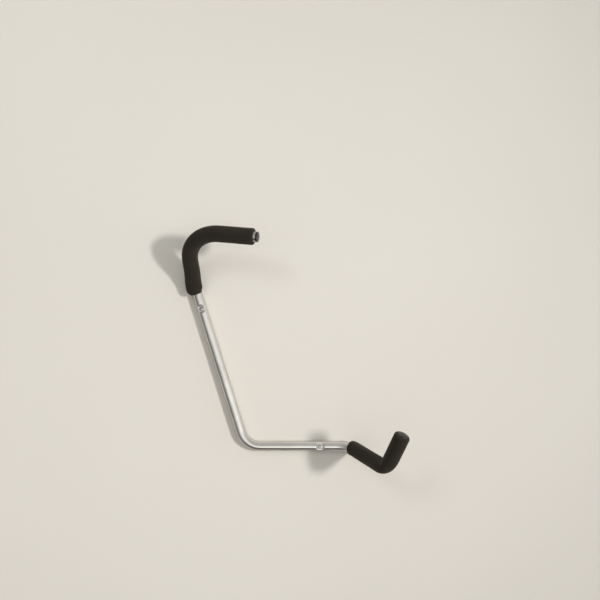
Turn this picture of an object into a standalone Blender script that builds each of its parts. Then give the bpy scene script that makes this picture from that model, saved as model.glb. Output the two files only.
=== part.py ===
"""Bicycle wall rack: one bent steel tube screwed flat to a wall, with a foam-covered hook at each end.

Metres, +X to the right along the wall, +Y into the wall, +Z up. The wall's face is the plane y = 0, and the
origin is where the lower screw's axis crosses it.
"""

import math

import bmesh
import bpy
from mathutils import Matrix, Vector

GAP = 0.0003  # between neighbours that touch

# The tube, and the corners where its straight runs would meet. It lies on the wall from LOWER_OUT to UPPER_OUT.
TUBE_RADIUS = 0.0095
TUBE_WALL = 0.0015
TUBE_DEPTH = -TUBE_RADIUS  # the y of the tube's centre line where it lies on the wall
LEAN = math.radians(17.47)  # of the leaning leg, from upright
LEG_CORNER = Vector((-0.1482, TUBE_DEPTH, 0.0))
LEG_UP = Vector((-math.sin(LEAN), 0.0, math.cos(LEAN)))
UPPER_OUT = LEG_CORNER + 0.3356 * LEG_UP
UPPER_CORNER = Vector((-0.2534, -0.0875, 0.4178))
UPPER_END = Vector((-0.1190, -0.1178, 0.4037))
LOWER_OUT = Vector((0.0583, TUBE_DEPTH, 0.0))
LOWER_CORNER = Vector((0.1147, -0.1325, -0.0124))
LOWER_END = Vector((0.1384, -0.1588, 0.0512))
CORNERS = (UPPER_END, UPPER_CORNER, UPPER_OUT, LEG_CORNER, LOWER_OUT, LOWER_CORNER, LOWER_END)
BEND_RADII = (0.069, 0.040, 0.040, 0.038, 0.037)
TURN_STEP = math.radians(12.0)
TUBE_SIDES = 20

# Foam sleeves, by their distance along the tube from its upper end.
UPPER_FOAM_RADIUS = 0.0154
LOWER_FOAM_RADIUS = 0.0144
UPPER_FOAM_START = 0.0035
UPPER_FOAM_PAST_BEND = 0.0180
LOWER_FOAM_PAST_BEND = 0.0070
LOWER_FOAM_PAST_END = 0.0025
FOAM_EDGE = 0.004
FOAM_SIDES = 20

# The wall squeezes the upper sleeve's last stretch. It pushes the sleeve off centre, fattens it and flattens its
# back, and the end turns into a rounded lip that hangs lower in front.
SQUEEZED_LENGTH = 0.060
PUSHED_BY = Vector((-0.0025, -0.0028, 0.0))
FATTENED_BY = 0.0011
LIP_RADIUS = 0.0166
LIP_LENGTH = 0.0130
LIP_SLANT = 0.30
FOAM_BACK = -0.0004  # the y of the flattened back

# Screw seats pressed into the tube.
LOWER_SCREW = Vector((0.0, 0.0, 0.0))
UPPER_SCREW = LEG_CORNER + 0.2855 * LEG_UP - Vector((0.0, TUBE_DEPTH, 0.0))
SEATS = ((UPPER_SCREW, LEG_UP), (LOWER_SCREW, Vector((1.0, 0.0, 0.0))))
SEAT_DEPTH = 0.0030
SEAT_HALF_LENGTH = 0.0056
SEAT_BLEND = 0.0034
PAD_DEPTH = 0.0009
PAD_HALF_LENGTH = 0.0080
PAD_BLEND = 0.0060
HOLE_RADIUS = 0.0028

# Screws and wall plugs.
SCREW_LENGTH = 0.060
SHANK_RADIUS = 0.0025
HEAD_RADIUS = 0.0048
HEAD_HEIGHT = 0.0032
RECESS_SPAN = 0.0050
RECESS_WIDTH = 0.0011
RECESS_DEPTH = 0.0018
PLUG_LENGTH = 0.045
PLUG_RADIUS = 0.0040
PLUG_RIM_RADIUS = 0.0052
PLUG_RIM_HEIGHT = 0.0010
PLUG_SLOT_WIDTH = 0.0009
PLUG_SLOT_LENGTH = 0.030

# End caps.
CAP_STEM_LENGTH = 0.014
CAP_STEM_RADIUS = TUBE_RADIUS - TUBE_WALL - GAP
CAP_FLANGE = 0.0022
CAP_DOME = 0.0030

OUT_OF_WALL = Vector((0.0, -1.0, 0.0))


class Route:
    """A centre line of straight runs joined by round bends, measured along its length."""

    def __init__(self, corners, radii):
        self.pieces = []
        self.bend_middles = []
        self.length = 0.0
        start = corners[0]
        for before, corner, after, radius in zip(corners, corners[1:], corners[2:], radii):
            into = (corner - before).normalized()
            out = (after - corner).normalized()
            turn = into.angle(out)
            reach = radius * math.tan(turn / 2)
            self._add_run(start, corner - into * reach)
            self.bend_middles.append(self.length + radius * turn / 2)
            self._add_bend(corner - into * reach, into, out, radius, turn)
            start = corner + out * reach
        self._add_run(start, corners[-1])

    def _add_run(self, start, end):
        along = (end - start).normalized()
        length = (end - start).length
        self.pieces.append((self.length, length, 0.0, lambda d: (start + along * d, along)))
        self.length += length

    def _add_bend(self, start, into, out, radius, turn):
        inward = (out - into * out.dot(into)).normalized()

        def place(d):
            angle = d / radius
            point = start + radius * (math.sin(angle) * into + (1 - math.cos(angle)) * inward)
            return point, math.cos(angle) * into + math.sin(angle) * inward

        self.pieces.append((self.length, radius * turn, turn, place))
        self.length += radius * turn

    def at(self, distance):
        """The point at a distance along the route, and the route's direction there."""
        for start, length, _, place in self.pieces:
            if distance <= start + length:
                break
        return place(distance - start)

    def nearest(self, place):
        """The distance along the route at which a straight run comes nearest to a place."""
        found = []
        for start, length, turn, put in self.pieces:
            if turn == 0.0:
                first, along = put(0.0)
                reach = min(max((place - first).dot(along), 0.0), length)
                found.append(((place - put(reach)[0]).length, start + reach))
        return min(found)[1]

    def marks(self, low, high, extra=()):
        """Distances from low to high: the ends of each run, steps round each bend, and the extra ones."""
        found = {low, high, *extra}
        for start, length, turn, _ in self.pieces:
            steps = max(1, math.ceil(turn / TURN_STEP))
            found.update(start + length * i / steps for i in range(steps + 1))
        kept = []
        for mark in sorted(m for m in found if low <= m <= high):
            if not kept or mark - kept[-1] > 0.0005:
                kept.append(mark)
        return kept


def smooth_step(share):
    share = min(max(share, 0.0), 1.0)
    return share * share * (3 - 2 * share)


def material(name, colour, roughness, metallic=0.0):
    made = bpy.data.materials.new(name)
    made.use_nodes = True
    shader = made.node_tree.nodes["Principled BSDF"]
    shader.inputs["Base Color"].default_value = (*colour, 1.0)
    shader.inputs["Roughness"].default_value = roughness
    shader.inputs["Metallic"].default_value = metallic
    return made


def add(name, data, collection, finish=None):
    made = bpy.data.objects.new(name, data)
    collection.objects.link(made)
    if finish:
        data.materials.append(finish)
    return made


def hide_cutter(cutter):
    cutter.hide_render = True
    cutter.display_type = "WIRE"
    return cutter


def swept(name, points, radii, sides, capped, collection, finish=None):
    """A mesh tube through the points, made from a bevelled curve."""
    curve = bpy.data.curves.new(name, "CURVE")
    curve.dimensions = "3D"
    curve.bevel_depth = 1.0
    curve.bevel_resolution = (sides - 4) // 2
    curve.use_fill_caps = capped
    spline = curve.splines.new("POLY")
    spline.points.add(len(points) - 1)
    for target, point, radius in zip(spline.points, points, radii):
        target.co = (*point, 1.0)
        target.radius = radius
    source = add(name, curve, collection)
    bpy.context.view_layer.update()
    evaluated = source.evaluated_get(bpy.context.evaluated_depsgraph_get())
    mesh = bpy.data.meshes.new_from_object(evaluated)
    bpy.data.objects.remove(source)
    welded = bmesh_of(mesh)
    bmesh.ops.remove_doubles(welded, verts=welded.verts, dist=0.00001)
    bmesh.ops.recalc_face_normals(welded, faces=welded.faces)
    welded.to_mesh(mesh)
    welded.free()
    return add(name, mesh, collection, finish)


def bmesh_of(mesh):
    made = bmesh.new()
    made.from_mesh(mesh)
    return made


def shade_round(piece):
    piece.data.shade_smooth()
    piece.data.set_sharp_from_angle(angle=math.radians(35))


def cut(piece, cutter):
    boolean = piece.modifiers.new("cut_" + cutter.name, "BOOLEAN")
    boolean.operation = "DIFFERENCE"
    boolean.object = hide_cutter(cutter)


def turned(name, profile, place, direction, steps, collection, finish=None):
    """A profile of (radius, height) from the top down, turned round a direction that leaves from a place."""
    mesh = bpy.data.meshes.new(name)
    mesh.from_pydata([(r, 0.0, z) for r, z in profile], [(i, i + 1) for i in range(len(profile) - 1)], [])
    made = add(name, mesh, collection, finish)
    made.location = place
    made.rotation_mode = "QUATERNION"
    made.rotation_quaternion = direction.to_track_quat("Z", "X")
    screw = made.modifiers.new("turn", "SCREW")
    screw.steps = steps
    screw.render_steps = steps
    screw.use_merge_vertices = True
    screw.merge_threshold = 0.00001
    screw.use_smooth_shade = True
    return made


def box(name, size, centre, direction, turn, collection):
    """A box with its Z along a direction, turned about it."""
    made = bmesh.new()
    bmesh.ops.create_cube(made, size=1.0)
    bmesh.ops.scale(made, vec=size, verts=made.verts)
    bmesh.ops.rotate(made, matrix=Matrix.Rotation(turn, 3, "Z"), verts=made.verts)
    bmesh.ops.rotate(made, matrix=direction.to_track_quat("Z", "X").to_matrix(), verts=made.verts)
    bmesh.ops.translate(made, vec=centre, verts=made.verts)
    mesh = bpy.data.meshes.new(name)
    made.to_mesh(mesh)
    made.free()
    return add(name, mesh, collection)


def press_seat(mesh, screw, along):
    """Flattens the tube's front under a screw's head, and its back against the wall."""
    for vertex in mesh.vertices:
        offset = vertex.co - screw
        if offset.length > 4 * TUBE_RADIUS:
            continue
        reach = abs(offset.dot(along))
        seat = 1 - smooth_step((reach - SEAT_HALF_LENGTH) / SEAT_BLEND)
        pad = 1 - smooth_step((reach - PAD_HALF_LENGTH) / PAD_BLEND)
        from_middle = vertex.co.y - TUBE_DEPTH
        if from_middle > 0:
            from_middle *= 1 + pad * PAD_DEPTH / TUBE_RADIUS
        front = seat * SEAT_DEPTH - 2 * TUBE_RADIUS
        vertex.co.y = min(max(TUBE_DEPTH + from_middle, front), 0.0)


def rack_tube(route, parts, cutters, steel):
    extra = []
    for screw, _ in SEATS:
        middle = route.nearest(screw)
        for half, blend in ((SEAT_HALF_LENGTH, SEAT_BLEND), (PAD_HALF_LENGTH, PAD_BLEND)):
            for share in (0.0, 0.33, 0.67, 1.0):
                extra += [middle - half - share * blend, middle + half + share * blend]
    points = [route.at(mark)[0] for mark in route.marks(0.0, route.length, extra)]
    tube = swept("rack_tube", points, [TUBE_RADIUS] * len(points), TUBE_SIDES, False, parts, steel)
    for screw, along in SEATS:
        press_seat(tube.data, screw, along)
    shell = tube.modifiers.new("wall", "SOLIDIFY")
    shell.thickness = TUBE_WALL
    shell.offset = -1.0
    shell.use_even_offset = True
    profile = [(0.0, TUBE_RADIUS * 2), (HOLE_RADIUS, TUBE_RADIUS * 2)]
    profile += [(HOLE_RADIUS, -TUBE_RADIUS * 2), (0.0, -TUBE_RADIUS * 2)]
    for index, (screw, _) in enumerate(SEATS):
        middle = screw + OUT_OF_WALL * TUBE_RADIUS
        cut(tube, turned(f"hole_{index}", profile, middle, OUT_OF_WALL, 16, cutters))
    shade_round(tube)


def foam_sleeve(name, route, start, end, radius, squeeze, parts, cutters, foam):
    """A round sleeve over the tube from start to end, with rounded edges.

    squeeze is how much of the wall's squeeze the far end gets, from 0 to 1.
    """
    edge_steps = 4
    lip_radius = LIP_RADIUS if squeeze else FOAM_EDGE
    lip_length = LIP_LENGTH if squeeze else FOAM_EDGE
    extra = []
    for i in range(1, edge_steps + 1):
        share = 1 - math.cos(math.pi / 2 * i / edge_steps)
        extra += [start + FOAM_EDGE * share, end - lip_length * share]
    marks = route.marks(start, end, extra)
    points = []
    radii = []
    for mark in marks:
        near_wall = squeeze * smooth_step(1 - (end - mark) / SQUEEZED_LENGTH)
        points.append(route.at(mark)[0] + near_wall * PUSHED_BY)
        edge, length, reach = FOAM_EDGE, FOAM_EDGE, mark - start
        if end - mark < reach:
            edge, length, reach = lip_radius, lip_length, end - mark
        short = max(0.0, length - reach)
        radii.append(radius + near_wall * FATTENED_BY - edge + math.sqrt(edge**2 - short**2))
    sleeve = swept(name, points, radii, FOAM_SIDES, True, parts, foam)
    if squeeze:
        hang_lip(sleeve.data, points[-1], route.at(end)[1])
    past = 3 * FOAM_EDGE
    bore_marks = route.marks(max(start - past, 0.0), min(end + past, route.length))
    bore_points = [route.at(mark)[0] for mark in bore_marks]
    bore_points[0] -= past * route.at(bore_marks[0])[1]
    bore_points[-1] += past * route.at(bore_marks[-1])[1]
    bore = swept("bore_of_" + name, bore_points, [TUBE_RADIUS + GAP] * len(bore_points), FOAM_SIDES, True,
                 cutters)
    cut(sleeve, bore)
    shade_round(sleeve)


def hang_lip(mesh, end, along):
    """Slants a sleeve's end, so that it hangs lower in front, and keeps its back off the wall."""
    for vertex in mesh.vertices:
        offset = vertex.co - end
        share = smooth_step(1 + offset.dot(along) / (2 * LIP_LENGTH)) if offset.length < SQUEEZED_LENGTH else 0.0
        vertex.co -= along * (LIP_SLANT * share * offset.y)
        vertex.co.y = min(vertex.co.y, FOAM_BACK)


def end_cap(name, place, direction, parts, plastic):
    """A domed cap on a tube end, with its stem inside the tube."""
    dome_steps = 5
    profile = []
    for i in range(dome_steps + 1):
        angle = math.pi / 2 * i / dome_steps
        profile.append((TUBE_RADIUS * math.sin(angle), CAP_FLANGE + CAP_DOME * math.cos(angle)))
    profile += [(TUBE_RADIUS, GAP), (CAP_STEM_RADIUS, GAP)]
    profile += [(CAP_STEM_RADIUS, -CAP_STEM_LENGTH), (0.0, -CAP_STEM_LENGTH)]
    turned(name, profile, place, direction, 20, parts, plastic)


def wall_screw(name, screw, parts, cutters, zinc):
    """A pan-head screw with a cross recess. Its height is measured from under the head."""
    profile = [(0.0, HEAD_HEIGHT), (0.5 * HEAD_RADIUS, 0.94 * HEAD_HEIGHT)]
    profile += [(0.85 * HEAD_RADIUS, 0.72 * HEAD_HEIGHT), (HEAD_RADIUS, 0.35 * HEAD_HEIGHT)]
    profile += [(HEAD_RADIUS, 0.0), (SHANK_RADIUS, 0.0)]
    profile += [(SHANK_RADIUS, 0.1 * SCREW_LENGTH - SCREW_LENGTH), (0.0, -SCREW_LENGTH)]
    under_head = screw + OUT_OF_WALL * (2 * TUBE_RADIUS - SEAT_DEPTH + GAP)
    made = turned(name, profile, under_head, OUT_OF_WALL, 16, parts, zinc)
    top = under_head + OUT_OF_WALL * HEAD_HEIGHT
    for turn in (math.radians(35), math.radians(125)):
        size = (RECESS_SPAN, RECESS_WIDTH, 2 * RECESS_DEPTH)
        cut(made, box(f"recess_of_{name}_{round(math.degrees(turn))}", size, top, OUT_OF_WALL, turn, cutters))


def wall_plug(name, screw, parts, cutters, nylon):
    """A sleeve plug with a rim, slotted from its far end so that the screw can spread it."""
    rim = -PLUG_RIM_HEIGHT
    profile = [(HOLE_RADIUS, 0.0), (PLUG_RIM_RADIUS, 0.0), (PLUG_RIM_RADIUS, rim), (PLUG_RADIUS, rim)]
    profile += [(PLUG_RADIUS, -0.9 * PLUG_LENGTH), (0.85 * PLUG_RADIUS, -PLUG_LENGTH)]
    profile += [(HOLE_RADIUS, -PLUG_LENGTH), (HOLE_RADIUS, 0.0)]
    mouth = screw - OUT_OF_WALL * GAP
    made = turned(name, profile, mouth, OUT_OF_WALL, 16, parts, nylon)
    for turn in (0.0, math.radians(90)):
        size = (4 * PLUG_RADIUS, PLUG_SLOT_WIDTH, 2 * PLUG_SLOT_LENGTH)
        far = mouth - OUT_OF_WALL * PLUG_LENGTH
        cut(made, box(f"slot_of_{name}_{round(math.degrees(turn))}", size, far, OUT_OF_WALL, turn, cutters))


def main():
    for thing in list(bpy.data.objects):
        bpy.data.objects.remove(thing)
    parts = bpy.data.collections.new("bicycle_wall_rack")
    cutters = bpy.data.collections.new("cutters")
    for collection in (parts, cutters):
        bpy.context.scene.collection.children.link(collection)
    steel = material("steel", (0.62, 0.60, 0.56), 0.30, 1.0)
    foam = material("foam", (0.022, 0.020, 0.017), 0.85)
    plastic = material("black_plastic", (0.015, 0.015, 0.015), 0.25)
    zinc = material("zinc", (0.55, 0.54, 0.50), 0.35, 1.0)
    nylon = material("nylon", (0.45, 0.45, 0.43), 0.50)

    route = Route(CORNERS, BEND_RADII)
    _, upper_bend, _, lower_bend, _ = route.bend_middles

    rack_tube(route, parts, cutters, steel)
    foam_sleeve("upper_foam_sleeve", route, UPPER_FOAM_START, upper_bend + UPPER_FOAM_PAST_BEND,
                UPPER_FOAM_RADIUS, 1.0, parts, cutters, foam)
    foam_sleeve("lower_foam_sleeve", route, lower_bend + LOWER_FOAM_PAST_BEND,
                route.length + LOWER_FOAM_PAST_END, LOWER_FOAM_RADIUS, 0.0, parts, cutters, foam)
    end_cap("upper_end_cap", UPPER_END, -route.at(0.0)[1], parts, plastic)
    end_cap("lower_end_cap", LOWER_END, route.at(route.length)[1], parts, plastic)
    for side, (screw, _) in zip(("upper", "lower"), SEATS):
        wall_screw(side + "_wall_screw", screw, parts, cutters, zinc)
        wall_plug(side + "_wall_plug", screw, parts, cutters, nylon)


main()
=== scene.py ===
"""Looks of the bicycle wall rack: a bent steel tube, two foam sleeves, end caps, screws and wall plugs.

Metres, +X right along the wall, +Y into the wall, +Z up. The wall's face is the plane y = 0.
"""

import math

import bmesh
import bpy
import numpy as np
from mathutils import Matrix, Vector


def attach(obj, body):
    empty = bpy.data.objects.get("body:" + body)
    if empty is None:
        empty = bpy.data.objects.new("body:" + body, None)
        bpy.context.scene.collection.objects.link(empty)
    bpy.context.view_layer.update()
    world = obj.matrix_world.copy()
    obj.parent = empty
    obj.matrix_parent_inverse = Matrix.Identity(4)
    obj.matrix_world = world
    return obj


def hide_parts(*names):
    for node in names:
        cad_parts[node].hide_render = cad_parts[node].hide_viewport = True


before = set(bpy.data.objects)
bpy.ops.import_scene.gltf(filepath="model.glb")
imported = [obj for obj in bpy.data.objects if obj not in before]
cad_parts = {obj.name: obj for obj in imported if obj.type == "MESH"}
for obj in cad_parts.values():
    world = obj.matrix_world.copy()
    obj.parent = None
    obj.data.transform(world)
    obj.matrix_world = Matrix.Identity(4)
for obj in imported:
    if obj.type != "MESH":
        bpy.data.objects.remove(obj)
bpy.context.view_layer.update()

BODY = "root"
MM = 0.001

# ---------------------------------------------------------------- sizes, as in the frame
TUBE_RADIUS = 9.5 * MM
TUBE_WALL = 1.5 * MM
GAP = 0.3 * MM
LEAN = math.radians(17.47)
LEG_CORNER = Vector((-0.1482, -TUBE_RADIUS, 0.0))
LEG_UP = Vector((-math.sin(LEAN), 0.0, math.cos(LEAN)))
LEVEL = Vector((1.0, 0.0, 0.0))
UPPER_OUT = LEG_CORNER + 0.3356 * LEG_UP
UPPER_CORNER = Vector((-0.2534, -0.0875, 0.4178))
UPPER_END = Vector((-0.1190, -0.1178, 0.4037))
LOWER_OUT = Vector((0.0583, -TUBE_RADIUS, 0.0))
LOWER_CORNER = Vector((0.1147, -0.1325, -0.0124))
LOWER_END = Vector((0.1384, -0.1588, 0.0512))
CORNERS = (UPPER_END, UPPER_CORNER, UPPER_OUT, LEG_CORNER, LOWER_OUT, LOWER_CORNER, LOWER_END)
BEND_RADII = (69 * MM, 40 * MM, 40 * MM, 38 * MM, 37 * MM)
LOWER_SCREW = Vector((0.0, 0.0, 0.0))
UPPER_SCREW = LEG_CORNER + 0.2855 * LEG_UP + Vector((0.0, TUBE_RADIUS, 0.0))
OUT_OF_WALL = Vector((0.0, -1.0, 0.0))

SEAT_DEPTH = 3.0 * MM
SEAT_HALF_LENGTH = 5.6 * MM
SEAT_BLEND = 3.4 * MM
PAD_DEPTH = 0.9 * MM
PAD_HALF_LENGTH = 8.0 * MM
PAD_BLEND = 6.0 * MM
SEAT_ROUNDING = 0.85  # how much a place beside the tube's axis counts against one along it
SEAT_SOFTNESS = 0.7 * MM
SEAT_BULGE = 0.045
HOLE_RADIUS = 2.8 * MM

UPPER_FOAM_RADIUS = 15.4 * MM
LOWER_FOAM_RADIUS = 14.4 * MM
UPPER_FOAM_START = 3.5 * MM
UPPER_FOAM_PAST_BEND = 18.0 * MM
LOWER_FOAM_PAST_BEND = 7.0 * MM
LOWER_FOAM_PAST_END = 2.5 * MM
FOAM_EDGE = 4.0 * MM
FOAM_LEAST = 0.25 * MM
FOAM_FOLDED = 1.2 * MM
FOAM_WAVE = 0.20 * MM
FOAM_RIPPLE = 0.08 * MM

# The wall squeezes the upper sleeve's last stretch off centre and fatter. Its lip hangs lower in front.
SQUEEZED_LENGTH = 60 * MM
PUSHED_BY = np.array((-2.5 * MM, -2.8 * MM, 0.0))
FATTENED_BY = 1.1 * MM
LIP_RADIUS = 16.6 * MM
LIP_LENGTH = 13.0 * MM
LIP_SLANT = 0.30
FOAM_BACK = -0.4 * MM

SCREW_HEAD_RADIUS = 4.8 * MM
SCREW_HEAD_HEIGHT = 3.2 * MM
SCREW_LENGTH = 60 * MM
SCREW_PITCH = 2.2 * MM
SHANK_RADIUS = 1.9 * MM
CORE_RADIUS = 1.65 * MM
THREAD_RADIUS = 2.5 * MM
THREAD_START = 6 * MM
RECESS_SIZE = (5.6 * MM, 1.5 * MM, 4.4 * MM)
RECESS_TAPER = 0.55

PLUG_LENGTH = 45 * MM
PLUG_RIM_RADIUS = 5.2 * MM
PLUG_RIM_HEIGHT = 1.0 * MM
PLUG_RADIUS = 4.0 * MM
PLUG_GROOVE_RADIUS = 3.65 * MM
PLUG_RIB_PITCH = 3.4 * MM
PLUG_FIRST_RIB = 9 * MM
PLUG_SLOT = (9 * MM, 0.9 * MM, 60 * MM)

CAP_FLANGE = 2.6 * MM
CAP_DOME = 2.6 * MM
CAP_EDGE = 0.6 * MM
CAP_STEM_LENGTH = 14 * MM
CAP_RIB_HEIGHT = 0.6 * MM
CAP_RIB_PITCH = 3.2 * MM

SURFACE_WAVE = 0.04 * MM
TUBE_SIDES = 64
FOAM_SIDES = 72


# ---------------------------------------------------------------- shapes along a bent line
class Route:
    """A centre line of straight runs joined by round bends, measured along its length."""

    def __init__(self, corners, radii):
        self.pieces = []
        self.bend_middles = []
        self.length = 0.0
        start = corners[0]
        for before, corner, after, radius in zip(corners, corners[1:], corners[2:], radii):
            into = (corner - before).normalized()
            out = (after - corner).normalized()
            turn = into.angle(out)
            reach = radius * math.tan(turn / 2)
            self._add_run(start, corner - into * reach)
            self.bend_middles.append(self.length + radius * turn / 2)
            self._add_bend(corner - into * reach, into, out, radius, turn)
            start = corner + out * reach
        self._add_run(start, corners[-1])

    def _add_run(self, start, end):
        along = (end - start).normalized()
        length = (end - start).length
        self.pieces.append((self.length, length, lambda d: (start + along * d, along)))
        self.length += length

    def _add_bend(self, start, into, out, radius, turn):
        inward = (out - into * out.dot(into)).normalized()

        def place(d):
            angle = d / radius
            point = start + radius * (math.sin(angle) * into + (1 - math.cos(angle)) * inward)
            return point, math.cos(angle) * into + math.sin(angle) * inward

        self.pieces.append((self.length, radius * turn, place))
        self.length += radius * turn

    def at(self, distance):
        for start, length, place in self.pieces:
            if distance <= start + length:
                break
        return place(distance - start)


ROUTE = Route(CORNERS, BEND_RADII)


def frames_along(marks):
    """Points, directions and two cross directions at each mark. The first of these two is +Y on the wall."""
    found = [ROUTE.at(mark) for mark in marks]
    points = np.array([point for point, _ in found])
    along = np.array([direction for _, direction in found])
    anchor = int(np.argmin(np.abs(along[:, 1]) + np.abs(marks - ROUTE.bend_middles[2])))
    back = np.zeros_like(points)
    start = np.array([0.0, 1.0, 0.0])
    if abs(along[anchor, 1]) > 1e-6:
        start = carried_back(marks[anchor])
    for step in (1, -1):
        current = start
        i = anchor
        while 0 <= i < len(marks):
            current = current - along[i] * current.dot(along[i])
            current = current / np.linalg.norm(current)
            back[i] = current
            i += step
    return points, along, back, np.cross(along, back)


def carried_back(mark):
    """The first cross direction at a mark off the wall, carried there from the middle of the leg corner."""
    middle = ROUTE.bend_middles[2]
    steps = 400
    current = np.array([0.0, 1.0, 0.0])
    for i in range(steps + 1):
        direction = np.array(ROUTE.at(middle + (mark - middle) * i / steps)[1])
        current = current - direction * current.dot(direction)
        current = current / np.linalg.norm(current)
    return current


def angles(count):
    return np.arange(count) * 2 * math.pi / count


def rings_at(marks, sides, radii, offset=None):
    """Ring points (mark, side, xyz) about the route. radii is one number, or one for each mark and side."""
    points, _, back, side = frames_along(marks)
    turn = angles(sides)
    out = back[:, None, :] * np.cos(turn)[None, :, None] + side[:, None, :] * np.sin(turn)[None, :, None]
    radii = np.broadcast_to(radii, (len(marks), sides))
    centre = points if offset is None else points + offset
    return centre[:, None, :] + out * radii[:, :, None]


def smooth_step(share):
    share = np.clip(share, 0.0, 1.0)
    return share * share * (3 - 2 * share)


def soft_max(a, b, width):
    return 0.5 * (a + b + np.sqrt((a - b) ** 2 + width**2))


def waves(a, b, seed, count=7):
    """A smooth field from -1 to 1 over two coordinates, the same on each run."""
    random = np.random.default_rng(seed)
    total = np.zeros(np.broadcast(a, b).shape)
    for _ in range(count):
        pitch = random.uniform(0.5, 1.6, 2) * random.choice((-1, 1), 2)
        total = total + np.sin(a * pitch[0] + b * round(2 * pitch[1]) + random.uniform(0, 2 * math.pi))
    return total / count


# ---------------------------------------------------------------- meshes
def link(name, mesh):
    made = bpy.data.objects.new(name, mesh)
    bpy.context.scene.collection.objects.link(made)
    return made


def closed_from_rings(name, rings, distances):
    """A closed skin through rings, whose last ring joins the first. Its UV is (distance, turn)."""
    count, sides, _ = rings.shape
    verts = rings.reshape(-1, 3)
    i, j = np.meshgrid(np.arange(count), np.arange(sides), indexing="ij")
    after, beside = (i + 1) % count, (j + 1) % sides
    faces = np.stack([i * sides + j, after * sides + j, after * sides + beside, i * sides + beside], -1)
    mesh = bpy.data.meshes.new(name)
    mesh.from_pydata(verts.tolist(), [], faces.reshape(-1, 4).tolist())
    uv = mesh.uv_layers.new(name="along")
    low, high = j / sides, (j + 1) / sides
    after_distance = np.where(i + 1 < count, distances[after], distances[i])
    here = distances[i]
    corners = np.stack([np.stack([here, low], -1), np.stack([after_distance, low], -1),
                        np.stack([after_distance, high], -1), np.stack([here, high], -1)], 2)
    uv.data.foreach_set("uv", corners.reshape(-1).astype(np.float32))
    mesh.update()
    return link(name, fix_normals(mesh))


def fix_normals(mesh):
    made = bmesh.new()
    made.from_mesh(mesh)
    bmesh.ops.recalc_face_normals(made, faces=made.faces)
    if made.calc_volume(signed=True) < 0:
        bmesh.ops.reverse_faces(made, faces=made.faces)
    made.to_mesh(mesh)
    made.free()
    return mesh


def lathe(name, profile, sides, place, direction, wave=None):
    """A closed turned solid. profile is (radius, height) points from the top to the bottom.

    It starts and ends on the axis, or off it for a solid with a bore. wave may move its points.
    """
    turn = angles(sides)
    inner = [(r, z) for r, z in profile if r > 0]
    radius = np.array([r for r, _ in inner])[:, None] + np.zeros(sides)
    height = np.array([z for _, z in inner])[:, None] + np.zeros(sides)
    if wave:
        radius = wave(radius, height, turn)
    rings = np.stack([radius * np.cos(turn), radius * np.sin(turn), height], -1)
    verts = rings.reshape(-1, 3).tolist()
    faces = []
    for i in range(len(inner) - 1):
        for j in range(sides):
            k = (j + 1) % sides
            faces.append((i * sides + j, (i + 1) * sides + j, (i + 1) * sides + k, i * sides + k))
    if profile[0][0] == 0:
        verts.append((0.0, 0.0, profile[0][1]))
        faces += [(len(verts) - 1, j, (j + 1) % sides) for j in range(sides)]
    if profile[-1][0] == 0:
        verts.append((0.0, 0.0, profile[-1][1]))
        last = (len(inner) - 1) * sides
        faces += [(len(verts) - 1, last + (j + 1) % sides, last + j) for j in range(sides)]
    if profile[0][0] > 0 and profile[-1][0] > 0:
        last = (len(inner) - 1) * sides
        faces += [(last + j, j, (j + 1) % sides, last + (j + 1) % sides) for j in range(sides)]
    mesh = bpy.data.meshes.new(name)
    mesh.from_pydata(verts, [], faces)
    made = link(name, fix_normals(mesh))
    mesh.transform(Matrix.Translation(place) @ direction.to_track_quat("Z", "X").to_matrix().to_4x4())
    return made


def arc(centre, radius_across, radius_up, start, end, steps):
    """Profile points round an ellipse, angles in degrees from the outward direction."""
    found = []
    for i in range(steps + 1):
        angle = math.radians(start + (end - start) * i / steps)
        found.append((centre[0] + radius_across * math.cos(angle), centre[1] + radius_up * math.sin(angle)))
    return found


def cut_away(piece, cutters):
    """Cuts each cutter out of a piece, applies the cuts and removes the cutters."""
    for cutter in cutters:
        boolean = piece.modifiers.new("cut", "BOOLEAN")
        boolean.operation = "DIFFERENCE"
        boolean.solver = "EXACT"
        boolean.object = cutter
    bpy.context.view_layer.update()
    evaluated = piece.evaluated_get(bpy.context.evaluated_depsgraph_get())
    mesh = bpy.data.meshes.new_from_object(evaluated)
    piece.modifiers.clear()
    piece.data = mesh
    for cutter in cutters:
        bpy.data.objects.remove(cutter)


def box(name, size, centre, direction, turn):
    made = bmesh.new()
    bmesh.ops.create_cube(made, size=1.0)
    bmesh.ops.scale(made, vec=size, verts=made.verts)
    bmesh.ops.rotate(made, matrix=Matrix.Rotation(turn, 3, "Z"), verts=made.verts)
    bmesh.ops.rotate(made, matrix=direction.to_track_quat("Z", "X").to_matrix(), verts=made.verts)
    bmesh.ops.translate(made, vec=centre, verts=made.verts)
    mesh = bpy.data.meshes.new(name)
    made.to_mesh(mesh)
    made.free()
    return link(name, mesh)


def finish_piece(piece, node, material, sharp_degrees=35):
    """Gives a piece its material and its shading, fixes it to the body, and hides the imported part that it
    stands for.
    """
    piece.data.materials.clear()
    piece.data.materials.append(material)
    piece.data.shade_smooth()
    piece.data.set_sharp_from_angle(angle=math.radians(sharp_degrees))
    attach(piece, BODY)
    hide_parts(node)


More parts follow.
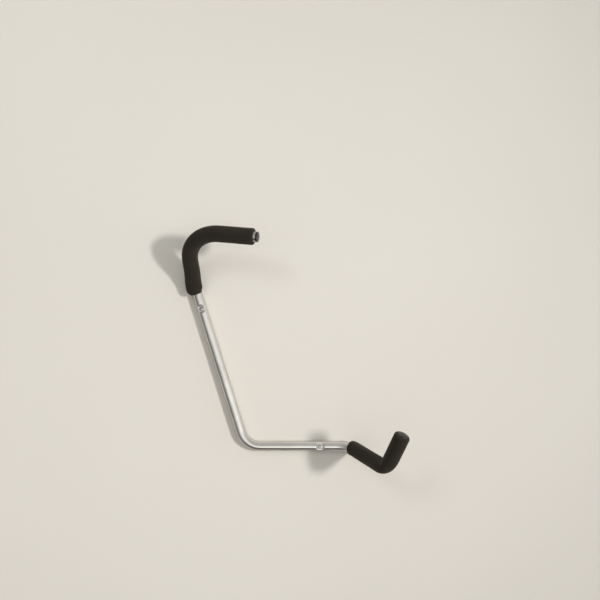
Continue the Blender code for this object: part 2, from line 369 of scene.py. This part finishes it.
# ---------------------------------------------------------------- materials
class Nodes:
    """Short calls for building one material's node tree."""

    def __init__(self, name):
        self.material = bpy.data.materials.new(name)
        self.material.use_nodes = True
        self.tree = self.material.node_tree
        self.shader = self.tree.nodes["Principled BSDF"]
        self.output = self.tree.nodes["Material Output"]

    def add(self, kind, **settings):
        node = self.tree.nodes.new(kind)
        for key, value in settings.items():
            setattr(node, key, value)
        return node

    def join(self, source, target):
        self.tree.links.new(source, target)

    def place(self):
        """Object coordinates."""
        return self.add("ShaderNodeTexCoord").outputs["Object"]

    def along(self, scale):
        """The piece's own (distance, turn) coordinates, scaled."""
        uv = self.add("ShaderNodeUVMap", uv_map="along")
        mapping = self.add("ShaderNodeMapping")
        mapping.inputs["Scale"].default_value = scale
        self.join(uv.outputs["UV"], mapping.inputs["Vector"])
        return mapping.outputs["Vector"]

    def noise(self, vector, scale, detail=3.0, roughness=0.5, distortion=0.0):
        node = self.add("ShaderNodeTexNoise")
        node.inputs["Scale"].default_value = scale
        node.inputs["Detail"].default_value = detail
        node.inputs["Roughness"].default_value = roughness
        node.inputs["Distortion"].default_value = distortion
        self.join(vector, node.inputs["Vector"])
        return node.outputs["Fac"]

    def cells(self, vector, scale):
        node = self.add("ShaderNodeTexVoronoi", feature="F1")
        node.inputs["Scale"].default_value = scale
        self.join(vector, node.inputs["Vector"])
        return node.outputs["Distance"]

    def ramp(self, value, low, high, out_low=0.0, out_high=1.0):
        node = self.add("ShaderNodeMapRange", interpolation_type="SMOOTHSTEP")
        for key, amount in (("From Min", low), ("From Max", high), ("To Min", out_low), ("To Max", out_high)):
            node.inputs[key].default_value = amount
        self.join(value, node.inputs["Value"])
        return node.outputs["Result"]

    def colours(self, value, stops):
        node = self.add("ShaderNodeValToRGB")
        ramp = node.color_ramp
        while len(ramp.elements) < len(stops):
            ramp.elements.new(0.5)
        for element, (position, colour) in zip(ramp.elements, stops):
            element.position = position
            element.color = (*colour, 1.0)
        self.join(value, node.inputs["Fac"])
        return node.outputs["Color"]

    def math(self, operation, a, b):
        node = self.add("ShaderNodeMath", operation=operation)
        for socket, value in zip(node.inputs, (a, b)):
            if isinstance(value, (int, float)):
                socket.default_value = value
            else:
                self.join(value, socket)
        return node.outputs["Value"]

    def bump(self, height, distance, strength, over=None):
        node = self.add("ShaderNodeBump")
        node.inputs["Distance"].default_value = distance
        node.inputs["Strength"].default_value = strength
        self.join(height, node.inputs["Height"])
        if over:
            self.join(over, node.inputs["Normal"])
        return node.outputs["Normal"]

    def set(self, **values):
        """Sets the shader's sockets, named with _ for a space, to a value or to a node's output."""
        for key, value in values.items():
            socket = self.shader.inputs[key.replace("_", " ")]
            if isinstance(value, bpy.types.NodeSocket):
                self.join(value, socket)
            else:
                socket.default_value = value


def steel_material():
    """Bright tube: a fine grain, faint smears, and a soft gloss drawn out along the tube."""
    n = Nodes("polished_steel")
    lines = n.noise(n.along((6.0, 260.0, 1.0)), 1.0, 4.0, 0.6)
    smears = n.noise(n.place(), 34.0, 4.0, 0.55, 0.4)
    specks = n.noise(n.place(), 900.0, 2.0, 0.5)
    rough = n.math("ADD", n.ramp(lines, 0.3, 0.7, 0.30, 0.37), n.ramp(smears, 0.35, 0.75, 0.0, 0.07))
    colour = n.colours(smears, [(0.30, (0.86, 0.845, 0.81)), (0.75, (0.78, 0.765, 0.73))])
    lined = n.bump(lines, 0.02 * MM, 0.3)
    n.set(Base_Color=colour, Metallic=1.0, Roughness=rough, Normal=n.bump(specks, 0.015 * MM, 0.25, lined),
          Anisotropic=0.85, Specular_Tint=(0.30, 0.30, 0.30, 1.0))
    tangent = n.add("ShaderNodeTangent", direction_type="UV_MAP", uv_map="along")
    n.join(tangent.outputs["Tangent"], n.shader.inputs["Tangent"])
    return n.material


def foam_material():
    """Closed-cell foam: matt, near black, with a fine open grain and rubbed, dusty patches."""
    n = Nodes("closed_cell_foam")
    place = n.place()
    cells = n.cells(place, 1150.0)
    grain = n.noise(place, 1900.0, 3.0, 0.6)
    lumps = n.noise(place, 160.0, 3.0, 0.5)
    rubbed = n.noise(place, 38.0, 5.0, 0.6, 0.5)
    pits = n.ramp(cells, 0.0, 0.6)
    shade_of = n.math("ADD", n.math("MULTIPLY", rubbed, 0.55), n.math("MULTIPLY", grain, 0.45))
    colour = n.colours(shade_of, [(0.32, (0.0158, 0.0128, 0.0098)), (0.55, (0.0222, 0.0182, 0.0140)),
                                  (0.74, (0.0340, 0.0284, 0.0224))])
    rough = n.ramp(rubbed, 0.3, 0.7, 0.82, 0.95)
    lumpy = n.bump(lumps, 0.25 * MM, 0.5)
    pitted = n.bump(pits, 0.14 * MM, 0.7, lumpy)
    n.set(Base_Color=colour, Roughness=rough, Normal=n.bump(grain, 0.08 * MM, 0.6, pitted),
          Specular_IOR_Level=0.20, Sheen_Weight=0.07, Sheen_Roughness=0.6, Sheen_Tint=(0.9, 0.85, 0.78, 1.0))
    return n.material


def cap_material():
    """Glossy black moulded plastic with faint handling marks."""
    n = Nodes("black_moulding")
    place = n.place()
    marks = n.noise(place, 210.0, 4.0, 0.6, 0.6)
    grain = n.noise(place, 2600.0, 2.0, 0.5)
    colour = n.colours(marks, [(0.35, (0.016, 0.0155, 0.0148)), (0.8, (0.026, 0.0250, 0.0235))])
    ripple = n.bump(marks, 0.05 * MM, 0.4)
    n.set(Base_Color=colour, Roughness=n.ramp(marks, 0.35, 0.75, 0.16, 0.34),
          Normal=n.bump(grain, 0.01 * MM, 0.3, ripple))
    return n.material


def zinc_material():
    """Bright zinc plate with a slight mottle."""
    n = Nodes("zinc_plate")
    place = n.place()
    mottle = n.noise(place, 420.0, 4.0, 0.6)
    fine = n.noise(place, 2400.0, 2.0, 0.5)
    colour = n.colours(mottle, [(0.3, (0.40, 0.39, 0.365)), (0.7, (0.54, 0.53, 0.50))])
    n.set(Base_Color=colour, Metallic=1.0, Roughness=n.ramp(mottle, 0.3, 0.7, 0.16, 0.30),
          Normal=n.bump(fine, 0.02 * MM, 0.4))
    return n.material


def nylon_material():
    """Grey nylon, slightly waxy."""
    n = Nodes("grey_nylon")
    place = n.place()
    cloud = n.noise(place, 130.0, 3.0, 0.5)
    grain = n.noise(place, 1500.0, 2.0, 0.5)
    colour = n.colours(cloud, [(0.3, (0.36, 0.36, 0.345)), (0.7, (0.44, 0.44, 0.42))])
    n.set(Base_Color=colour, Roughness=n.ramp(cloud, 0.3, 0.7, 0.40, 0.55),
          Normal=n.bump(grain, 0.03 * MM, 0.5))
    return n.material


def wall_material():
    """Cream wall paint over faintly uneven plaster, see-through from behind to show the rack's back."""
    n = Nodes("cream_wall_paint")
    place = n.place()
    stipple = n.noise(place, 330.0, 3.0, 0.55)
    uneven = n.noise(place, 5.0, 3.0, 0.5)
    tone = n.noise(place, 1.6, 2.0, 0.5)
    colour = n.colours(tone, [(0.3, (0.750, 0.726, 0.676)), (0.7, (0.772, 0.750, 0.704))])
    broad = n.bump(uneven, 1.2 * MM, 0.25)
    n.set(Base_Color=colour, Roughness=0.85, Normal=n.bump(stipple, 0.10 * MM, 0.25, broad))
    side = n.add("ShaderNodeNewGeometry")
    clear = n.add("ShaderNodeBsdfTransparent")
    mix = n.add("ShaderNodeMixShader")
    n.join(side.outputs["Backfacing"], mix.inputs["Fac"])
    n.join(n.shader.outputs["BSDF"], mix.inputs[1])
    n.join(clear.outputs["BSDF"], mix.inputs[2])
    n.join(mix.outputs["Shader"], n.output.inputs["Surface"])
    return n.material


def floor_material():
    n = Nodes("pale_floor")
    cloud = n.noise(n.place(), 3.0, 4.0, 0.5)
    colour = n.colours(cloud, [(0.3, (0.40, 0.38, 0.35)), (0.7, (0.44, 0.42, 0.385))])
    n.set(Base_Color=colour, Roughness=0.7)
    return n.material


# ---------------------------------------------------------------- the tube
def press_seats(rings, inset):
    """Flattens the front under each screw's head and the back on the wall. inset is how deep a skin lies."""
    for screw, along in ((UPPER_SCREW, LEG_UP), (LOWER_SCREW, LEVEL)):
        offset = rings - np.array(screw)
        near = np.linalg.norm(offset, axis=-1) < 4 * TUBE_RADIUS
        reach = np.abs(offset @ np.array(along))
        across = np.cross(np.array(along), np.array([0.0, 1.0, 0.0]))
        round_reach = np.hypot(reach, SEAT_ROUNDING * (offset @ across))
        seat = np.where(near, 1 - smooth_step((round_reach - SEAT_HALF_LENGTH) / SEAT_BLEND), 0.0)
        pad = np.where(near, 1 - smooth_step((reach - PAD_HALF_LENGTH) / PAD_BLEND), 0.0)
        y = rings[..., 1] + TUBE_RADIUS
        y = np.where(y > 0, y * (1 + pad * PAD_DEPTH / TUBE_RADIUS), y) - TUBE_RADIUS
        front = seat * SEAT_DEPTH - 2 * TUBE_RADIUS + inset
        y = np.where(seat > 0, soft_max(y, front, SEAT_SOFTNESS * seat), y)
        rings[..., 1] = np.where(near, np.minimum(y, -inset), rings[..., 1])
        bulge = SEAT_BULGE * seat * (offset @ across)
        rings += bulge[..., None] * across
    return rings


def rack_tube(material):
    """The tube with its bore, pressed at both screws and drilled through for them."""
    marks = set(np.linspace(0.0, ROUTE.length, 330))
    for screw in (UPPER_SCREW, LOWER_SCREW):
        middle = nearest_mark(screw)
        marks.update(middle + np.arange(-17, 17.01, 0.5) * MM)  # finer where the seat is
    marks = np.array(sorted(marks))
    marks = marks[np.concatenate([[True], np.diff(marks) > 0.2 * MM])]
    drawn = SURFACE_WAVE * waves(marks[:, None] * 60, angles(TUBE_SIDES)[None, :], 11)
    outer = press_seats(rings_at(marks, TUBE_SIDES, TUBE_RADIUS + drawn - SURFACE_WAVE), 0.0)
    inner = press_seats(rings_at(marks, TUBE_SIDES, TUBE_RADIUS - TUBE_WALL + drawn), TUBE_WALL)
    rings = np.concatenate([outer, inner[::-1]])
    distances = np.concatenate([marks, marks[::-1]])
    tube = closed_from_rings("tube_shell", rings, distances)
    holes = []
    for screw in (UPPER_SCREW, LOWER_SCREW):
        reach = 1.5 * TUBE_RADIUS
        profile = [(0.0, reach), (HOLE_RADIUS, reach), (HOLE_RADIUS, -reach), (0.0, -reach)]
        holes.append(lathe("hole", profile, 40, screw + OUT_OF_WALL * TUBE_RADIUS, OUT_OF_WALL))
    cut_away(tube, holes)
    finish_piece(tube, "rack_tube", material)


def nearest_mark(place):
    marks = np.linspace(0.0, ROUTE.length, 4000)
    gaps = [(ROUTE.at(mark)[0] - place).length for mark in marks]
    return marks[int(np.argmin(gaps))]


# ---------------------------------------------------------------- the foam
def foam_marks(start, end, lip_length):
    """Marks along a sleeve, close together where its ends are rounded."""
    quarter = 1 - np.cos(np.linspace(0, math.pi / 2, 10))
    inner = np.linspace(start + FOAM_EDGE, end - lip_length, int((end - start) / (1.5 * MM)))
    return np.concatenate([start + FOAM_EDGE * quarter, inner[1:-1], end - lip_length * quarter[::-1]])


def pulled_into_crease(marks, radii, corner_index, foam_radius):
    """Shrinks the inside of a bend to where two straight sleeves would meet, which is a sharp fold."""
    before, corner, after = (np.array(CORNERS[corner_index + i]) for i in (-1, 0, 1))
    into = (corner - before) / np.linalg.norm(corner - before)
    out = (after - corner) / np.linalg.norm(after - corner)
    points, _, back, side = frames_along(marks)
    turn = angles(radii.shape[1])
    outward = back[:, None, :] * np.cos(turn)[None, :, None] + side[:, None, :] * np.sin(turn)[None, :, None]

    def from_line(place, direction):
        offset = place - corner
        return np.linalg.norm(offset - (offset @ direction)[..., None] * direction, axis=-1)

    low = np.full(radii.shape, TUBE_RADIUS + FOAM_FOLDED)
    high = radii.copy()
    for _ in range(24):
        middle = (low + high) / 2
        place = points[:, None, :] + outward * middle[..., None]
        one, two = from_line(place, into), from_line(place, out)
        soft = -soft_max(-one, -two, 0.5 * MM)
        outside = soft > foam_radius
        high = np.where(outside, middle, high)
        low = np.where(outside, low, middle)
    near = np.linalg.norm(points - corner, axis=1) < 60 * MM
    return np.where(near[:, None], np.minimum(radii, high), radii)


def foam_sleeve(name, node, start, end, foam_radius, squeeze, crease_corner, seed, material):
    """A sleeve with rounded ends. squeeze is how much of the wall's squeeze its far end gets, from 0 to 1."""
    lip_radius, lip_length = (LIP_RADIUS, LIP_LENGTH) if squeeze else (FOAM_EDGE, FOAM_EDGE)
    marks = foam_marks(start, end, lip_length)
    turn = angles(FOAM_SIDES)
    squeezed = squeeze * smooth_step(1 - (end - marks) / SQUEEZED_LENGTH)
    body = foam_radius + squeezed[:, None] * FATTENED_BY
    body = body + FOAM_WAVE * waves(marks[:, None] * 45, turn[None, :], seed)
    body = body + FOAM_RIPPLE * waves(marks[:, None] * 160, turn[None, :] * 2, seed + 1)
    if crease_corner:
        body = pulled_into_crease(marks, body, crease_corner, foam_radius)
    near_short = np.maximum(0.0, FOAM_EDGE - (marks - start))
    far_short = np.maximum(0.0, lip_length - (end - marks))
    edge = FOAM_EDGE - np.sqrt(np.maximum(FOAM_EDGE**2 - near_short**2, 0.0))
    edge = edge + lip_radius - np.sqrt(np.maximum(lip_radius**2 - far_short**2, 0.0))
    inside = TUBE_RADIUS + GAP
    body = np.maximum(body - edge[:, None], inside + FOAM_LEAST)
    outer = rings_at(marks, FOAM_SIDES, body, squeezed[:, None] * PUSHED_BY)
    bore = rings_at(marks[::-1], FOAM_SIDES, inside)
    if squeeze:
        outer = hang_lip(outer, end, squeeze)
        bore = hang_lip(bore, end, squeeze)
        outer = clear_of_bore(outer, marks, inside + FOAM_LEAST)
    sleeve = closed_from_rings(name, np.concatenate([outer, bore]), np.concatenate([marks, marks[::-1]]))
    finish_piece(sleeve, node, material, 60)


def hang_lip(rings, end, squeeze):
    """Slants a sleeve's end, so that it hangs lower in front, and flattens its back on the wall."""
    centre, along = (np.array(v) for v in ROUTE.at(end))
    offset = rings - centre - squeeze * PUSHED_BY
    share = smooth_step(1 + (offset @ along) / (2 * LIP_LENGTH))
    share = np.where(np.linalg.norm(offset, axis=-1) < SQUEEZED_LENGTH, share, 0.0)
    rings = rings - along * (LIP_SLANT * share * offset[..., 1])[..., None]
    rings[..., 1] = -soft_max(-rings[..., 1], -FOAM_BACK, 0.3 * MM)
    return rings


def clear_of_bore(rings, marks, least):
    """Moves a skin's points out to at least a given radius about the tube, but not back into the wall."""
    centre = np.array([ROUTE.at(mark)[0] for mark in marks])[:, None, :]
    along = np.array([ROUTE.at(mark)[1] for mark in marks])[:, None, :]
    offset = rings - centre
    offset = offset - (offset * along).sum(-1, keepdims=True) * along
    radius = np.linalg.norm(offset, axis=-1, keepdims=True)
    moved = rings + offset * np.maximum(least / radius - 1, 0.0)
    moved[..., 1] = np.minimum(moved[..., 1], FOAM_BACK)
    return moved


# ---------------------------------------------------------------- caps, screws and plugs
def end_cap(name, node, place, direction, material):
    """A domed plug cap: a rounded rim on the tube's end, and a stem with ribs inside the tube."""
    edge = CAP_EDGE
    stem = TUBE_RADIUS - TUBE_WALL - GAP
    groove = stem - CAP_RIB_HEIGHT
    profile = [(0.0, CAP_FLANGE + CAP_DOME)]
    profile += list(reversed(arc((0.0, CAP_FLANGE), TUBE_RADIUS, CAP_DOME, 4, 88, 20)))
    profile += [(TUBE_RADIUS, CAP_FLANGE), (TUBE_RADIUS, GAP + edge)]
    profile += arc((TUBE_RADIUS - edge, GAP + edge), edge, edge, -10, -90, 5)
    profile += [(groove, GAP)]
    for i in range(4):
        top = -1.0 * MM - i * CAP_RIB_PITCH
        profile += [(groove, top), (stem, top - 0.5 * MM), (stem, top - 1.2 * MM), (groove, top - 2.2 * MM)]
    profile += [(stem - 0.9 * MM, -CAP_STEM_LENGTH), (0.0, -CAP_STEM_LENGTH)]
    cap = lathe(name, profile, 64, place, direction)
    finish_piece(cap, node, material)


def wall_screw(name, node, screw, material):
    """A pan-head wood screw. Heights are measured out of the wall from under its head."""
    head = SCREW_HEAD_RADIUS
    core = CORE_RADIUS
    profile = [(0.0, SCREW_HEAD_HEIGHT)]
    profile += list(reversed(arc((head - 1.9 * MM, 1.3 * MM), 1.9 * MM, 1.85 * MM, -8, 82, 10)))
    profile += arc((head - 0.45 * MM, 0.45 * MM), 0.45 * MM, 0.45 * MM, -20, -90, 5)
    profile += [(core + 0.9 * MM, 0.0), (core + 0.45 * MM, -0.4 * MM)]
    profile += [(core, z) for z in np.arange(-1.0, -57.0, -0.22) * MM]
    profile += [(0.25 * MM, -SCREW_LENGTH), (0.0, -SCREW_LENGTH - 0.2 * MM)]

    def threaded(radius, height, turn):
        """A plain shank, then a thread that grows to its full height and runs out at the point."""
        grown = np.clip((-height - THREAD_START) / (3.0 * MM), 0.0, 1.0)
        point = np.clip((height + SCREW_LENGTH) / (7.0 * MM), 0.05, 1.0)
        phase = np.mod(height / SCREW_PITCH - turn / (2 * math.pi), 1.0)
        ridge = np.clip(1 - np.abs(phase - 0.5) / 0.22, 0.0, 1.0)
        thread = (core + (THREAD_RADIUS - core) * ridge * grown) * point
        shank = np.where(-height < THREAD_START, SHANK_RADIUS, thread)
        return np.where((height < -0.9 * MM) & (height > 1.0 * MM - SCREW_LENGTH), shank, radius)

    under_head = screw + OUT_OF_WALL * (2 * TUBE_RADIUS - SEAT_DEPTH + GAP)
    made = lathe(name, profile, 36, under_head, OUT_OF_WALL, threaded)
    top = under_head + OUT_OF_WALL * SCREW_HEAD_HEIGHT
    cut_away(made, [tapered_bar(top, math.radians(turn)) for turn in (35, 125)])
    finish_piece(made, node, material)


def tapered_bar(top, turn):
    """One bar of a cross recess, narrower at its bottom."""
    bar = box("recess", RECESS_SIZE, top, OUT_OF_WALL, turn)
    along = Matrix.Rotation(turn, 3, "Z") @ Vector((1.0, 0.0, 0.0))
    along = OUT_OF_WALL.to_track_quat("Z", "X").to_matrix() @ along
    for vertex in bar.data.vertices:
        offset = vertex.co - top
        if offset.dot(OUT_OF_WALL) < 0:
            vertex.co -= along * offset.dot(along) * RECESS_TAPER
    return bar


def wall_plug(name, node, screw, material):
    """A ribbed sleeve plug with a rim, slotted crosswise from its far end."""
    rim, rim_edge = PLUG_RIM_RADIUS, 0.2 * MM
    rib, groove = PLUG_RADIUS, PLUG_GROOVE_RADIUS
    profile = [(HOLE_RADIUS, 0.0), (rim - rim_edge, 0.0), (rim, -rim_edge)]
    profile += [(rim, rim_edge - PLUG_RIM_HEIGHT), (rim - rim_edge, -PLUG_RIM_HEIGHT)]
    profile += [(rib, -PLUG_RIM_HEIGHT), (rib, -PLUG_FIRST_RIB)]
    for i in range(9):
        top = -PLUG_FIRST_RIB - i * PLUG_RIB_PITCH
        profile += [(groove, top - 0.5 * MM), (groove, top - 1.2 * MM)]
        profile += [(rib, top - PLUG_RIB_PITCH + 0.3 * MM), (rib, top - PLUG_RIB_PITCH)]
    profile += [(groove, -PLUG_LENGTH + 3.5 * MM), (3.3 * MM, -PLUG_LENGTH), (HOLE_RADIUS, -PLUG_LENGTH)]
    bore_steps = 12
    profile += [(HOLE_RADIUS, -PLUG_LENGTH + PLUG_LENGTH * i / bore_steps) for i in range(1, bore_steps)]
    mouth = screw - OUT_OF_WALL * GAP
    made = lathe(name, profile, 48, mouth, OUT_OF_WALL)
    far = mouth - OUT_OF_WALL * PLUG_LENGTH
    cut_away(made, [box("slot", PLUG_SLOT, far, OUT_OF_WALL, math.radians(turn)) for turn in (0, 90)])
    finish_piece(made, node, material)


# ---------------------------------------------------------------- light, wall and camera
CAMERA_PLACE = Vector((-0.0396, -1.240, 0.2895))
CAMERA_LENS = 37.2
MIDDLE = Vector((-0.05, 0.0, 0.22))
KEY_PLACE = Vector((2.236, -2.50, 0.594))
KEY_AIM = Vector((-1.67, 0.0, -0.35))  # left of and below the rack, which evens out the light on the wall
KEY_SIZE = (0.27, 0.45)
KEY_POWER = 15.4
KEY_SPREAD = math.radians(72)
FILL_PLACE = Vector((-1.25, -2.4, 1.6))
FILL_SIZE = (0.80, 0.80)
FILL_POWER = 10.0
WALL_HALF_WIDTH = 6.0
WALL_TOP = 5.0
FLOOR_HEIGHT = -1.15
BACKDROP_STRENGTH = 0.80


def area_light(name, place, aim, size, power, colour):
    data = bpy.data.lights.new(name, "AREA")
    data.shape = "ELLIPSE"
    data.size, data.size_y = size
    data.energy = power
    data.color = colour
    made = bpy.data.objects.new(name, data)
    bpy.context.scene.collection.objects.link(made)
    made.location = place
    made.rotation_mode = "QUATERNION"
    made.rotation_quaternion = (aim - place).to_track_quat("-Z", "Y")
    made.visible_camera = False
    made.visible_glossy = False
    return made


def sheet_of_stage(name, corners, material):
    mesh = bpy.data.meshes.new(name)
    mesh.from_pydata(corners, [], [tuple(range(len(corners)))])
    made = link(name, mesh)
    mesh.materials.append(material)
    return made


def studio():
    wide = WALL_HALF_WIDTH
    sheet_of_stage("wall", [(-wide, 0, FLOOR_HEIGHT), (wide, 0, FLOOR_HEIGHT), (wide, 0, WALL_TOP),
                            (-wide, 0, WALL_TOP)], wall_material())
    floor = [(x, y, FLOOR_HEIGHT) for x, y in ((-wide, -wide), (wide, -wide), (wide, wide), (-wide, wide))]
    ground = sheet_of_stage("floor", floor, floor_material())
    ground.visible_glossy = False
    bpy.context.scene.world = room_light()
    key = area_light("key", KEY_PLACE, KEY_AIM, KEY_SIZE, KEY_POWER, (1.0, 0.965, 0.91))
    key.data.spread = KEY_SPREAD
    area_light("fill", FILL_PLACE, MIDDLE, FILL_SIZE, FILL_POWER, (0.98, 1.0, 0.98))


def room_light():
    """The light of the room: dim below and far to the left, with a level band that is bright to the right.

    The camera sees a plain pale backdrop in its place.
    """
    world = bpy.data.worlds.new("room")
    world.use_nodes = True
    tree = world.node_tree

    def step(source, low, high, out_low, out_high):
        node = tree.nodes.new("ShaderNodeMapRange")
        node.interpolation_type = "SMOOTHSTEP"
        amounts = (low, high, out_low, out_high)
        for socket, amount in zip(("From Min", "From Max", "To Min", "To Max"), amounts):
            node.inputs[socket].default_value = amount
        tree.links.new(source, node.inputs["Value"])
        return node.outputs["Result"]

    def combine(operation, a, b):
        node = tree.nodes.new("ShaderNodeMath")
        node.operation = operation
        tree.links.new(a, node.inputs[0])
        tree.links.new(b, node.inputs[1])
        return node.outputs["Value"]

    direction = tree.nodes.new("ShaderNodeTexCoord")
    split = tree.nodes.new("ShaderNodeSeparateXYZ")
    tree.links.new(direction.outputs["Generated"], split.inputs["Vector"])
    x, z = split.outputs["X"], split.outputs["Z"]
    band = combine("MULTIPLY", step(z, -0.64, -0.46, 0.0, 1.0), step(z, -0.14, 0.12, 1.0, 0.0))
    bright_right = combine("MULTIPLY", band, step(x, -0.55, 0.70, 0.0, 1.9))
    dim_below = step(z, -0.80, -0.42, 0.05, 0.52)
    dim_left = step(x, -1.00, -0.45, 0.12, 1.0)
    light = combine("MULTIPLY", combine("ADD", dim_below, bright_right), dim_left)
    mix = tree.nodes.new("ShaderNodeMix")
    tree.links.new(tree.nodes.new("ShaderNodeLightPath").outputs["Is Camera Ray"], mix.inputs["Factor"])
    tree.links.new(light, mix.inputs["A"])
    mix.inputs["B"].default_value = BACKDROP_STRENGTH
    background = tree.nodes["Background"]
    tree.links.new(mix.outputs["Result"], background.inputs["Strength"])
    background.inputs["Color"].default_value = (1.0, 0.99, 0.965, 1.0)
    return world


def camera():
    data = bpy.data.cameras.new("camera")
    data.lens = CAMERA_LENS
    data.sensor_width = 36.0
    data.clip_end = 50.0
    made = bpy.data.objects.new("camera", data)
    bpy.context.scene.collection.objects.link(made)
    made.location = CAMERA_PLACE
    made.rotation_euler = (math.radians(90), 0.0, 0.0)
    bpy.context.scene.camera = made


# ---------------------------------------------------------------- build
def main():
    camera()
    studio()
    bpy.context.scene.view_settings.view_transform = "Standard"
    steel, foam, plastic = steel_material(), foam_material(), cap_material()
    zinc, nylon = zinc_material(), nylon_material()

    _, upper_bend, _, lower_bend, _ = ROUTE.bend_middles

    rack_tube(steel)
    foam_sleeve("upper_sleeve", "upper_foam_sleeve", UPPER_FOAM_START, upper_bend + UPPER_FOAM_PAST_BEND,
                UPPER_FOAM_RADIUS, 1.0, None, 21, foam)
    foam_sleeve("lower_sleeve", "lower_foam_sleeve", lower_bend + LOWER_FOAM_PAST_BEND,
                ROUTE.length + LOWER_FOAM_PAST_END, LOWER_FOAM_RADIUS, 0.0, 5, 31, foam)
    end_cap("upper_cap", "upper_end_cap", UPPER_END, -ROUTE.at(0.0)[1], plastic)
    end_cap("lower_cap", "lower_end_cap", LOWER_END, ROUTE.at(ROUTE.length)[1], plastic)
    for side, screw in (("upper", UPPER_SCREW), ("lower", LOWER_SCREW)):
        wall_screw(side + "_screw", side + "_wall_screw", screw, zinc)
        wall_plug(side + "_plug", side + "_wall_plug", screw, nylon)


main()
